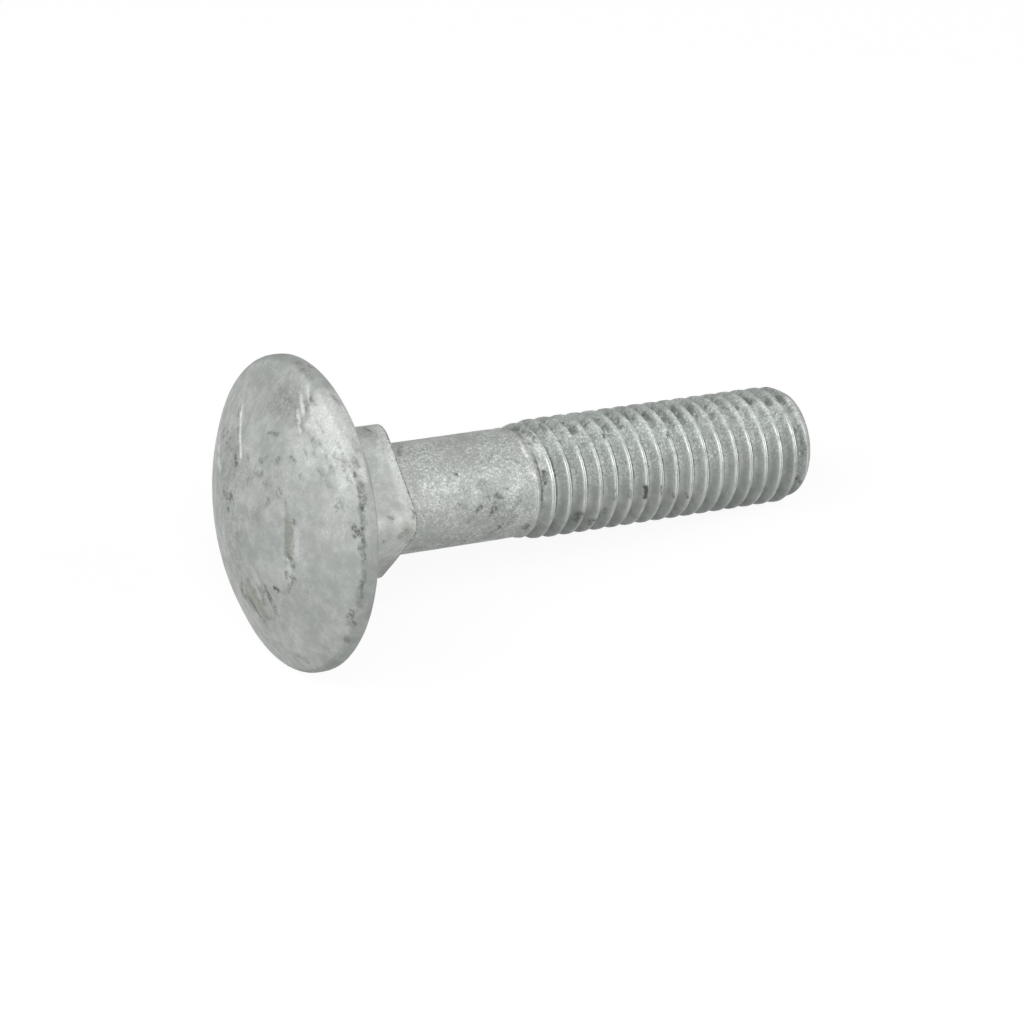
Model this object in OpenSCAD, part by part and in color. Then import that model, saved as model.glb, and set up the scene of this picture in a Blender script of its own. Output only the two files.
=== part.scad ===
// A carriage bolt, hot-dip galvanised: a low round head, a square neck, a plain
// shank and a coarse right-hand thread, forged and rolled as one piece.
// It lies as it comes to rest, on the rim of its head and the last crest of its
// thread, with the thread end towards +X. All lengths are in millimetres.

/* [Head] */
// Diameter of the round head
head_d = 30.1; // [26:0.1:34]
// Height of the head, from the bearing face under it to the crown
head_h = 6.2; // [4.5:0.1:8]
// Height of the short upright rim
rim_h = 1.4; // [0.9:0.1:2.4]
// Radius of the soft edge where the crown meets the rim
crown_round = 0.9; // [0.3:0.05:1]
// Radius of the edge under the rim
rim_round = 0.4; // [0.2:0.05:0.45]

/* [Neck] */
// Width of the square neck across its flats
neck_w = 12.1; // [11.5:0.1:14]
// Height of the square neck under the head
neck_h = 8.25; // [5:0.05:11]
// Radius of the four corners of the neck
neck_round = 2.25; // [0.5:0.05:3]
// Turn of the neck's flats about the axis of the bolt
neck_turn = 33; // [0:1:89]

/* [Shank] */
// Length of the bolt under its head
bolt_l = 54.5; // [46:0.5:120]
// Diameter of the plain shank
shank_d = 10.7; // [10.2:0.05:11.3]

/* [Thread] */
// Length of the thread with its run-out
thread_l = 33.1; // [20:0.1:40]
// Diameter over the crests, under the nominal 12 to leave room for the zinc
thread_d = 11.65; // [11.4:0.05:12]
// Diameter at the roots, with the zinc that lies in them
root_d = 9.9; // [9.4:0.05:10.2]
// Distance from one crest to the next
pitch = 1.75; // [1.5:0.05:2.5]
// Width of the flat on a crest
crest_w = 0.28; // [0.1:0.02:0.4]
// Angle between the two flanks of a groove
thread_angle = 60; // [50:1:64]
// Length over which the thread rises out of the plain shank
runout_l = 4.4; // [2:0.1:8]
// Distance from the end back to the last crest on the underside
last_crest = 1.66; // [1.4:0.02:2.6]

/* [End] */
// Length of the chamfer at the end
chamfer_l = 1.3; // [0.6:0.05:1.5]
// Diameter of the flat end
end_d = 10.5; // [9.9:0.1:11.3]

/* [Hidden] */
$fn = 96;
zinc = "#b4b9b8";

head_r = head_d / 2;
crown_h = head_h - rim_h;
// the crown is one sphere through the apex and the upper edge of the rim
crown_r = (head_r * head_r + crown_h * crown_h) / (2 * crown_h);
crown_z = crown_r - head_h;

thread_r = thread_d / 2;
root_r = root_d / 2;
end_r = end_d / 2;
thread_z = bolt_l - thread_l;
chamfer_z = bolt_l - chamfer_l;
flank_w = (thread_r - root_r) * tan(thread_angle / 2);

// corners of one pitch of the thread: distance along the axis from the middle
// of a crest, and radius
profile = [
    [-crest_w / 2, thread_r],
    [crest_w / 2, thread_r],
    [crest_w / 2 + flank_w, root_r],
    [pitch - crest_w / 2 - flank_w, root_r]
];
corners = len(profile);

steps = 40; // facets round one turn
half_facet = 180 / steps;
snap = 0.02; // a corner nearer than this to an end of the helix lies on it
inset = 0.02; // the thread starts just inside the surface of the shank
rings = 8; // rings of facets along the chamfer
seam_turn = 1.8; // turn of the head's seam, half of one facet of its finest mesh
joint_l = 1; // how far one stretch of the bolt reaches into the one before it

// the helix starts below the thread and ends past it, and is cut off at both
crest_z = bolt_l - last_crest;
first_z = crest_z - pitch * ceil((crest_z - thread_z) / pitch + 2);
helix_steps = steps * ceil((chamfer_z - first_z) / pitch + 2);

// radius of the thread's surface at a distance u past the middle of a crest
function past_crest(u) = u - pitch * floor(u / pitch);
function profile_r(u) = lookup(past_crest(u), [
    [0, thread_r],
    [crest_w / 2, thread_r],
    [crest_w / 2 + flank_w, root_r],
    [pitch - crest_w / 2 - flank_w, root_r],
    [pitch - crest_w / 2, thread_r],
    [pitch, thread_r]
]);
function ease(t) = t <= 0 ? 0 : t >= 1 ? 1 : t * t * (3 - 2 * t);
function risen(r, z) = let (base = shank_d / 2 - inset) base + (r - base) * ease((z - thread_z) / runout_l);
function chamfered(r, z) = min(r, end_r + (thread_r - end_r) * (bolt_l - z) / chamfer_l);
function at(angle, r, z) = [r * cos(angle), r * sin(angle), z];

// turns of the helix at step i, shifted so that the bolt lies on a facet and not on an edge
function turns(i) = i / steps + half_facet / 360;
function middle_z(i) = first_z + pitch * turns(i);

// corner c of the profile at step i along the helix, held between the two ends
function held(z) = z < thread_z + snap ? thread_z : z > chamfer_z - snap ? chamfer_z : z;
function helix_point(i, c) =
    let (z = middle_z(i) + profile[c][0], z2 = held(z), r = z2 == z ? profile[c][1] : profile_r(z2 - middle_z(i)))
    at(360 * turns(i), risen(r, z2), z2);
function ring_point(i, k) =
    let (z = chamfer_z + chamfer_l * k / rings)
    at(360 * turns(i), chamfered(profile_r(z - middle_z(i)), z), z);

// the thread's points: the helix, the rings of the chamfer, and the middle of each end
helix_count = (helix_steps + steps) * corners;
thread_points = [
    for (i = [0 : helix_steps + steps - 1]) for (c = [0 : corners - 1]) helix_point(i, c),
    for (k = [1 : rings]) for (i = [0 : steps - 1]) ring_point(i, k),
    [0, 0, thread_z],
    [0, 0, bolt_l]
];
function helix_index(i, c) = c < corners ? i * corners + c : (i + steps) * corners + c - corners;
function ring_index(i, k) = helix_count + (k - 1) * steps + i % steps;
// the first and the last turn of the helix lie whole in its two end planes
function first_index(i) = helix_index(i % steps, 0);
function last_index(i) = helix_index(helix_steps + i % steps, corners - 1);
function halves(a, b, c, d) = [[a, b, c], [a, c, d]];
function apart(a, b) = norm(thread_points[a] - thread_points[b]) > snap / 10;
function real(f) = apart(f[0], f[1]) && apart(f[1], f[2]) && apart(f[2], f[0]);

thread_faces = [
    for (i = [0 : helix_steps - 2]) for (c = [0 : corners - 1])
        for (f = halves(helix_index(i, c), helix_index(i, c + 1), helix_index(i + 1, c + 1), helix_index(i + 1, c)))
            if (real(f)) f,
    for (i = [0 : steps - 1]) for (k = [1 : rings])
        for (f = halves(
            k == 1 ? last_index(i) : ring_index(i, k - 1),
            ring_index(i, k),
            ring_index(i + 1, k),
            k == 1 ? last_index(i + 1) : ring_index(i + 1, k - 1)
        )) f,
    for (i = [0 : steps - 1]) [len(thread_points) - 2, first_index(i), first_index(i + 1)],
    for (i = [0 : steps - 1]) [len(thread_points) - 1, ring_index(i + 1, rings), ring_index(i, rings)]
];

// the bolt lies on the rim of its head and the far edge of its last crest
rim_r = head_r - rim_round;
contact_r = thread_r * cos(half_facet);
contact_z = crest_z + crest_w / 2;
lever = norm([contact_z + rim_round, rim_r - contact_r]);
rest_tilt = atan2(rim_r - contact_r, contact_z + rim_round) + asin(rim_round / lever);
// how high the axis lies above the floor at the bearing face, and the middle of the length
axis_h = rim_r * cos(rest_tilt) + rim_round - rim_round * sin(rest_tilt);
far_x = max([for (p = thread_points) p[2] * cos(rest_tilt) - p[0] * sin(rest_tilt)]);
near_x = crown_z * cos(rest_tilt) - crown_r;

module lying() {
    translate([-(near_x + far_x) / 2, 0, axis_h]) rotate([0, 90 + rest_tilt, 0]) children();
}

// half of the head's section, with the axis at x = 0 and the bearing face at y = 0
module head_section() {
    // centre of the round between crown and rim, which is tangent to both
    upper_r = head_r - crown_round;
    upper_y = crown_z - sqrt(pow(crown_r - crown_round, 2) - upper_r * upper_r);
    lean = asin(upper_r / (crown_r - crown_round));
    difference() {
        intersection() {
            translate([0, crown_z]) circle(crown_r);
            translate([0, -head_h]) square([head_r, head_h]);
        }
        // above the upper round
        difference() {
            polygon([
                [upper_r, upper_y],
                [upper_r + crown_round * sin(lean), upper_y - crown_round * cos(lean)],
                [head_r + crown_round, upper_y - 2 * crown_round],
                [head_r + crown_round, upper_y]
            ]);
            translate([upper_r, upper_y]) circle(crown_round);
        }
        // below the lower round
        difference() {
            translate([rim_r, -rim_round]) square(2 * rim_round);
            translate([rim_r, -rim_round]) circle(rim_round);
        }
    }
}

module head() {
    // the seam of the revolve is turned off the line that the head lies on
    rotate([0, 0, seam_turn]) rotate_extrude() head_section();
}

module square_neck() {
    inner = neck_w - 2 * neck_round;
    rotate([0, 0, neck_turn]) translate([0, 0, -joint_l]) linear_extrude(neck_h + joint_l) {
        square([neck_w, inner], center = true);
        square([inner, neck_w], center = true);
        for (x = [-inner / 2, inner / 2]) for (y = [-inner / 2, inner / 2]) translate([x, y]) circle(neck_round);
    }
}

module shank() {
    translate([0, 0, neck_h - joint_l]) cylinder(h = thread_z - neck_h + joint_l, d = shank_d);
}

module thread() {
    polyhedron(points = thread_points, faces = thread_faces, convexity = 10);
}

module carriage_bolt() {
    color(zinc) lying() {
        head();
        square_neck();
        shank();
        thread();
    }
}

carriage_bolt();
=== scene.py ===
import math

import bmesh
import bpy
from mathutils import Matrix, Vector, kdtree, noise
from mathutils.bvhtree import BVHTree


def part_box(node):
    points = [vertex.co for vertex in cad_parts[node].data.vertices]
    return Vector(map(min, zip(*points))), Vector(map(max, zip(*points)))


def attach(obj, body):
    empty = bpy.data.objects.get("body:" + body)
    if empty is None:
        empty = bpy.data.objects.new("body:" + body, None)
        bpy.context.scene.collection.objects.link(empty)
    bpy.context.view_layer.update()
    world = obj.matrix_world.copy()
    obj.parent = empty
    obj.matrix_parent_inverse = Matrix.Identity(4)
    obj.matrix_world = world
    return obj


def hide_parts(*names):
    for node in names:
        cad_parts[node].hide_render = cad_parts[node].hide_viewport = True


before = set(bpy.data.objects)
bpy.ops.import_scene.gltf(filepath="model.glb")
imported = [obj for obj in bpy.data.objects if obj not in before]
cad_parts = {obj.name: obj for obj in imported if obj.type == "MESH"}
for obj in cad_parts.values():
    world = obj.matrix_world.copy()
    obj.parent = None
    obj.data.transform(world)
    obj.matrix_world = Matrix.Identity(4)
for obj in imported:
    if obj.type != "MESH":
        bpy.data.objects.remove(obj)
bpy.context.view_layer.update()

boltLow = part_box("carriage_bolt")[0]
print("frame loaded")

# Sizes of the bolt in millimetres and degrees, and the facets of a turn of its thread, as in the source
bolt = {
    "headD": 30.1, "headH": 6.2, "rimH": 1.4, "crownRound": 0.9, "rimRound": 0.4,
    "neckW": 12.1, "neckH": 8.25, "neckRound": 2.25, "neckTurn": 33.0, "neckEdge": 0.14, "neckFillet": 0.25,
    "length": 54.5, "shankD": 10.7, "shankHollow": 0.1, "shankRise": 0.03,
    "threadL": 33.1, "threadD": 11.65, "rootD": 9.9, "pitch": 1.75, "crestW": 0.28, "threadAngle": 60.0,
    "flankSoft": 0.3, "runoutL": 4.4, "runoutSink": 0.02, "lastCrest": 1.66, "facets": 40,
    "chamferL": 1.3, "endD": 10.5, "endEdge": 0.15,
}

# How finely it is meshed: columns round it, steps over a crest and a flank as shares, rings of faces,
# turns of thread to spare, and small distances in millimetres
meshing = {
    "columns": 144, "crestSteps": (-1.0, -0.6, -0.2, 0.2, 0.6, 1.0), "flankSteps": (0.3, 0.55, 0.8),
    "crestShoulder": 0.05, "rootShoulder": 0.12, "spareTurns": 2,
    "chamferRings": 6, "edgeRings": 3, "endRings": 10, "shankRings": 36, "neckRings": 22, "underRings": 10,
    "rimRings": 4, "landRings": 3, "shoulderRings": 5, "domeRings": 46,
    "snap": 0.03, "threadWeld": 0.002, "tooShort": 0.001, "weld": 0.0005, "sameHeight": 0.0001,
    "pole": 0.00001,
}

# How the zinc lies on it: depths and widths in millimetres, and where its clouds start
coat = {
    "swell": 0.045, "swellWide": 5.5, "swellFrom": (3.1, 7.7, 1.9),
    "lumps": 0.02, "lumpsWide": 1.6, "lumpsFrom": (11.3, 2.2, 5.1),
    "hollowWobble": 0.3, "groove": 0.045, "grooveWide": 0.06, "grooveBreaks": 4.0,
}

# How the marks are drawn: the widest that is meshed finely, how far round it, the longest edges left there in
# millimetres, how sharp and uneven their borders are, and how the long ones break up
marking = {
    "fineBelow": 0.8, "fineAround": 0.2, "longest": (0.3, 0.16),
    "sharp": 1.4, "uneven": 0.5, "unevenScale": 2.5,
    "longFrom": 3.0, "whole": 0.9, "broken": 1.1, "brokenScale": 1.3,
}

# The camera, which also places the marks: where it stands, the way back to it, lens, sensor and picture size
view = {
    "at": (-0.16992, -0.29472, 0.23345), "back": (-0.41327, -0.72246, 0.55431),
    "lens": 148.12, "sensor": 36.0, "pixels": 1024,
}

# Low places in the coat: from and to in the picture's pixels, width and depth in millimetres (below 0 a lump)
hollows = {
    "foldWelt": ((287, 519), (284, 564), 0.9, -0.06),
    "foldGroove": ((294, 523), (293, 563), 0.5, 0.08),
    "lobe": ((266, 571), (280, 568), 1.7, -0.08),
    "lobeFoot": ((274, 588), (281, 594), 0.5, 0.09),
    "lobeSide": ((288, 569), (290, 590), 0.5, 0.05),
    "streakA": ((242, 583), (243, 593), 0.5, 0.06),
    "streakB": ((246, 597), (253, 605), 0.55, 0.08),
    "streakC": ((255, 608), (264, 621), 0.45, 0.06),
    "streakD": ((265, 589), (271, 600), 0.5, 0.08),
    "ridgeUpper": ((302, 392), (298, 414), 0.6, -0.08),
    "ridgeRight": ((312, 399), (308, 421), 0.6, -0.08),
    "ridgeLow": ((305, 422), (302, 437), 0.6, -0.06),
    "dishUpper": ((296, 393), (291, 416), 0.6, 0.06),
    "dishRight": ((308, 395), (305, 415), 0.5, 0.07),
    "chipRim": ((357, 529), (359, 538), 0.8, 0.1),
    "chipLower": ((361, 538), (363, 559), 0.5, 0.05),
    "leftPits": ((226, 439), (230, 445), 0.7, 0.06),
    "leftDish": ((226, 505), (230, 499), 0.7, 0.05),
    "shankLarge": ((498, 496), (503, 499), 0.5, 0.06),
    "streakE": ((264, 594), (264, 604), 0.4, 0.05),
}

# Marks on the zinc: from and to in the picture's pixels, width in millimetres, and how strong. The dark ones
# are pits, smudges, streaks, stains, dark lines and broad darker areas, and some are painted shade, as said
# above them
darkMarks = {
    # painted shade on the dark side of the pale ridge line
    "ridgeShade": ((238.4, 409), (238, 455), 0.2, 0.5),
    "ridgeHead": ((240, 406), (241, 409), 0.3, 0.5),
    "ridgeFoot": ((235.2, 457), (235.8, 464), 0.55, 0.75),
    "leftTickA": ((223, 437), (228, 432), 0.3, 0.55),
    "leftTickB": ((226, 442), (230, 438), 0.26, 0.6),
    "leftTickC": ((225, 450), (229, 446), 0.3, 0.45),
    "leftDust": ((222, 440), (232, 446), 1.2, 0.2),
    "leftSpotA": ((224, 493), (229, 498), 0.6, 0.7),
    "leftSpotB": ((230, 494), (232, 497), 0.4, 0.8),
    "leftSpotC": ((226.5, 504), (228.5, 510), 0.4, 0.7),
    # painted shade
    "leftShade": ((222, 500), (230, 512), 0.9, 0.25),
    "smudgeMid": ((236, 510), (258, 516), 1.1, 0.22),
    "chipA": ((259, 460), (262, 463), 0.25, 0.5),
    "chipB": ((258, 476), (262, 472), 0.3, 0.45),
    "chipC": ((275.5, 463), (279.5, 458), 0.25, 0.55),
    "chipD": ((291, 457), (295, 461.5), 0.25, 0.6),
    "chipE": ((268, 433), (277, 434.5), 0.28, 0.55),
    "speckA": ((268.3, 500), (268.9, 501.5), 0.2, 0.7),
    "speckB": ((285, 500), (286, 509), 0.3, 0.35),
    "speckC": ((279, 489), (281, 494), 0.25, 0.35),
    "foldTop": ((292.6, 519.5), (293.2, 523), 0.3, 0.42),
    # painted shade on the dark side of the fold
    "foldShade": ((289, 519), (287, 563), 0.6, 0.24),
    "lobeDot": ((291, 577), (294, 579), 0.4, 0.55),
    # painted shadow under the raised lobe
    "lobeFoot": ((274.5, 589), (277.5, 591), 0.35, 0.85),
    "streakA": ((241.5, 583), (242, 592), 0.6, 0.35),
    "streakB": ((242, 592), (247, 599), 0.65, 0.47),
    "streakC": ((246, 598), (251, 602), 0.8, 0.51),
    "streakD": ((251, 602), (254.5, 607.5), 0.75, 0.55),
    "streakE": ((254.5, 607.5), (258.5, 613.5), 0.5, 0.43),
    "streakF": ((258.5, 613.5), (263.5, 621.5), 0.45, 0.43),
    "topSmearA": ((297, 362), (303, 369), 0.5, 0.4),
    "topSmearB": ((303, 368), (311, 378), 0.6, 0.3),
    "topEdgeA": ((309, 366), (311, 367), 0.3, 0.5),
    "topEdgeB": ((334, 397), (339, 402), 0.35, 0.4),
    "greenPatchA": ((280, 391), (289, 401), 1, 0.36),
    "greenPatchB": ((272, 405), (292, 411), 1.3, 0.28),
    "greenPatchC": ((291, 385), (299, 392), 0.8, 0.24),
    # painted shade in nooks between the ridges, this one and the next
    "ridgeNookA": ((310, 398), (313, 402), 0.35, 0.5),
    "ridgeNookB": ((304, 402), (309, 405), 0.3, 0.35),
    "dotsA": ((335.4, 505.5), (336.2, 507), 0.2, 0.65),
    "dotsB": ((337.4, 508), (338.2, 509), 0.18, 0.5),
    "rimA": ((342, 454), (344.5, 470), 0.3, 0.5),
    "rimB": ((345.5, 462), (346.5, 466), 0.25, 0.4),
    "rimC": ((354, 473), (359, 484), 0.3, 0.65),
    "rimD": ((355, 460), (356.5, 466), 0.5, 0.4),
    "rimE": ((361, 485), (363.5, 503), 0.55, 0.45),
    "rimF": ((361.5, 503), (362, 509), 0.35, 0.75),
    "rimG": ((361, 511), (363, 523), 0.55, 0.4),
    "rimBlobA": ((354, 528), (355, 536), 0.4, 0.7),
    "rimBlobB": ((359, 531), (362.5, 529), 0.4, 0.7),
    "rimBlobC": ((356.5, 533), (360, 535), 0.5, 0.55),
    "rimH": ((362, 538), (364, 545), 0.35, 0.7),
    "rimI": ((360, 549), (364, 558), 0.45, 0.5),
    "rimJ": ((362, 557), (364, 562), 0.35, 0.4),
    "rimK": ((363.5, 572), (364, 580), 0.35, 0.35),
    "rimL": ((362, 583), (361.5, 588), 0.35, 0.55),
    "rimM": ((361, 590), (360, 604), 0.6, 0.25),
    "smudgeLowA": ((349, 617), (353, 612), 0.5, 0.5),
    "smudgeLowB": ((349, 622), (354, 624), 0.5, 0.45),
    "ringLowA": ((344.5, 641), (347, 638.5), 0.28, 0.5),
    "ringLowB": ((347, 638.5), (349.5, 642), 0.28, 0.4),
    "lowDust": ((298, 656), (306, 661), 0.6, 0.3),
    "neckTop": ((364.5, 428), (370, 430.8), 0.35, 0.6),
    "neckEdgeA": ((397.5, 449), (399, 453), 0.25, 0.4),
    "neckCornerA": ((413.5, 512), (415.5, 520), 0.3, 0.6),
    "neckTick": ((388.5, 517), (392, 519), 0.22, 0.55),
    "neckDot": ((383.5, 541), (384.8, 542.5), 0.22, 0.5),
    "neckDust": ((400, 537), (406, 532), 0.6, 0.35),
    "neckFoot": ((409, 543), (412, 540), 0.3, 0.5),
    "shankPit": ((456.5, 473.5), (457.2, 474.5), 0.2, 0.85),
    "shankLarge": ((497.5, 495.5), (501.5, 499), 0.38, 0.6),
    "shankLargeFoot": ((500, 499), (504, 503), 0.5, 0.3),
    "shankCloud": ((483, 486), (493, 494), 0.9, 0.25),
    "shankMiddle": ((490.5, 515), (496.5, 508), 0.35, 0.7),
    "shankLeft": ((477, 511), (482, 507), 0.32, 0.7),
    "shankLeftLow": ((468, 522), (473, 517), 0.3, 0.35),
    "shankRight": ((509, 513), (514, 508), 0.35, 0.4),
    "shankRightUp": ((517, 505), (521, 501), 0.3, 0.35),
    "shankRightLow": ((524, 529), (527, 526), 0.45, 0.6),
    "shankFootA": ((497, 529.5), (500, 527.5), 0.35, 0.8),
    "shankFootB": ((506, 526), (512, 523), 0.4, 0.35),
    "shankFootC": ((489, 534), (494, 532), 0.4, 0.35),
    "shankScratch": ((487.5, 462), (494.5, 453.5), 0.2, 0.4),
    "startSmearA": ((527, 432), (533, 438), 0.35, 0.55),
    "startSmearB": ((541, 425), (545, 429), 0.35, 0.5),
    "startPit": ((543.5, 472), (544.6, 484), 0.32, 0.85),
    "startPitB": ((555, 468), (556, 474), 0.22, 0.4),
    "pitMain": ((646.3, 487.5), (645.8, 497), 0.45, 1),
    "pitLeftA": ((615, 490), (614, 499), 0.26, 0.75),
    "pitLeftB": ((630, 491), (629.6, 497), 0.26, 0.45),
    "pitRightA": ((661.3, 487), (661.3, 494), 0.24, 0.6),
    "pitRightB": ((673.6, 494), (674, 497), 0.24, 0.6),
    "pitRightC": ((686.6, 494), (687.4, 497.5), 0.27, 0.75),
    "pitUpA": ((603, 434), (604, 437), 0.3, 0.8),
    "pitUpB": ((667.6, 432), (668.4, 436.5), 0.32, 0.8),
    "blobLowA": ((575, 520), (580, 515), 0.6, 0.65),
    "blobLowB": ((590, 524), (593, 521), 0.5, 0.6),
    "blobLowC": ((604, 513), (606, 509), 0.3, 0.5),
    "endSpotA": ((794.5, 428), (795.5, 431), 0.3, 0.5),
    "endSpotB": ((775, 399), (779, 402), 0.25, 0.5),
    "startLineA": ((527.5, 440), (535, 463), 0.14, 0.5),
    "startLineB": ((512, 431), (521, 436), 0.16, 0.4),
    "shankSpeckA": ((505, 488), (508, 489), 0.2, 0.4),
    "shankSpeckB": ((488, 497), (490, 500), 0.2, 0.4),
    "shankSpeckC": ((460, 505), (466, 508), 0.3, 0.3),
    "shankSpeckD": ((462, 488), (470, 494), 0.5, 0.2),
    "shankSpeckE": ((515, 460), (517, 462), 0.2, 0.3),
    "shankSpeckF": ((500, 527), (503, 530), 0.22, 0.4),
    "shankTop": ((455, 434), (462, 433), 0.3, 0.4),
    "runOutA": ((530, 433), (534, 437), 0.3, 0.5),
    "runOutB": ((541, 497), (543, 506), 0.4, 0.35),
    # painted shade on the dark side of the pale ridge line
    "ridgeMiddle": ((238.5, 428), (238.3, 440), 0.25, 0.5),
    "streakG": ((263.5, 621.5), (269, 630), 0.35, 0.23),
    "streakH": ((248, 580), (251.7, 590), 0.5, 0.35),
    "streakI": ((259, 588), (263, 594), 0.5, 0.39),
    "streakJ": ((263, 594), (263.5, 604), 0.5, 0.35),
    # painted shade on the dome's left
    "leftBroad": ((226, 490), (232, 512), 2.2, 0.16),
    "topBroad": ((268, 372), (288, 404), 2.6, 0.1),
    "bottomBroad": ((250, 560), (240, 540), 2, 0.07),
    "rimLineA": ((346, 458), (355, 478), 0.2, 0.55),
    "rimLineB": ((358, 486), (361.5, 508), 0.22, 0.6),
    "rimLineC": ((361.5, 540), (361.8, 600), 0.22, 0.45),
    "shankLargeDown": ((495, 503), (492, 511), 0.3, 0.4),
    "leftTickD": ((221, 433), (224, 430), 0.3, 0.45),
    # painted shade on the end
    "endShade": ((801, 432), (801.8, 452), 0.5, 0.16),
    "endSpotC": ((797, 478), (799, 482), 0.3, 0.6),
    # painted shade along the top of the neck
    "neckTopShade": ((368, 436), (382, 441), 1.6, 0.22),
    "neckCornerB": ((402, 446), (398, 455), 0.4, 0.4),
    "streakK": ((265, 588), (268.3, 595.5), 0.55, 0.47),
    "streakL": ((267.8, 594.5), (270.5, 600), 0.6, 0.66),
    "leftTickE": ((230, 447), (231, 451), 0.24, 0.5),
    # painted shade between the ridges in the dome's highlight, this one and the next two
    "ridgeDarkA": ((304, 393), (306, 411), 0.24, 0.4),
    "ridgeDarkB": ((294, 400), (296, 420), 0.3, 0.3),
    "ridgeDarkC": ((301, 414), (303, 428), 0.24, 0.35),
    "domeMiddle": ((272, 470), (288, 490), 2.6, 0.07),
    "domeRight": ((338, 515), (342, 530), 2.2, 0.07),
    "flecksA": ((318, 440), (321, 446), 0.25, 0.35),
    "flecksB": ((325, 452), (327, 459), 0.22, 0.35),
    "flecksC": ((313, 452), (316, 457), 0.25, 0.35),
    "flecksD": ((338, 444), (340, 449), 0.22, 0.3),
    "flecksE": ((330, 466), (333, 470), 0.25, 0.35),
    "flecksF": ((304, 450), (306, 455), 0.22, 0.35),
    "streakM": ((270.5, 600), (274, 608), 0.4, 0.31),
    "streakN": ((274, 606), (275.8, 614), 0.55, 0.39),
    "streakO": ((267, 618), (274, 618), 0.4, 0.27),
    "streakP": ((256, 596), (260, 602), 0.5, 0.31),
    "streakQ": ((254, 590), (256, 597), 0.5, 0.31),
    "foldEdge": ((291.8, 522), (292, 553), 0.3, 0.36),
    "foldTeal": ((290, 559), (293.5, 568), 0.45, 0.5),
    "lobeSpot": ((286.5, 573), (286.3, 577.5), 0.3, 0.5),
    # painted shade round the lobe's rim, this one and the next
    "lobeRimA": ((281, 594), (288, 592), 0.35, 0.42),
    "lobeRimB": ((288, 592), (291.8, 583), 0.35, 0.42),
    # painted shade on the dome's left
    "leftCloud": ((224, 470), (244, 476), 2.2, 0.26),
    "pepperA": ((246, 455), (248, 459), 0.4, 0.3),
    "pepperB": ((254, 472), (262, 476), 0.5, 0.3),
    "pepperC": ((262, 460), (267, 457), 0.35, 0.3),
    "pepperD": ((264, 482), (270, 488), 0.5, 0.25),
    "pepperE": ((268, 500), (267, 505), 0.35, 0.4),
    "pepperF": ((276, 492), (278, 497), 0.35, 0.3),
    "pepperG": ((300, 476), (303, 480), 0.4, 0.25),
    "pepperH": ((318, 470), (322, 474), 0.4, 0.25),
    "pepperI": ((326, 482), (330, 486), 0.4, 0.25),
    "pepperJ": ((338, 500), (341, 506), 0.4, 0.3),
    "pepperK": ((348, 478), (350, 484), 0.4, 0.35),
    "pepperL": ((334, 455), (337, 460), 0.4, 0.25),
    "pepperM": ((312, 440), (315, 446), 0.4, 0.3),
    "pepperN": ((304, 430), (308, 434), 0.4, 0.3),
    "pepperO": ((320, 425), (323, 431), 0.35, 0.28),
    "pepperP": ((296, 422), (301, 425), 0.5, 0.3),
    # painted shade on the dome's left
    "leftSoft": ((229, 455), (236, 555), 3.4, 0.25),
    "endSoft": ((790, 415), (796, 470), 2.2, 0.13),
    # painted shade on the top of the rim
    "rimUpShade": ((352, 438), (358, 450), 0.6, 0.22),
    "shankSoft": ((494, 506), (506, 522), 1.2, 0.22),
}
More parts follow.
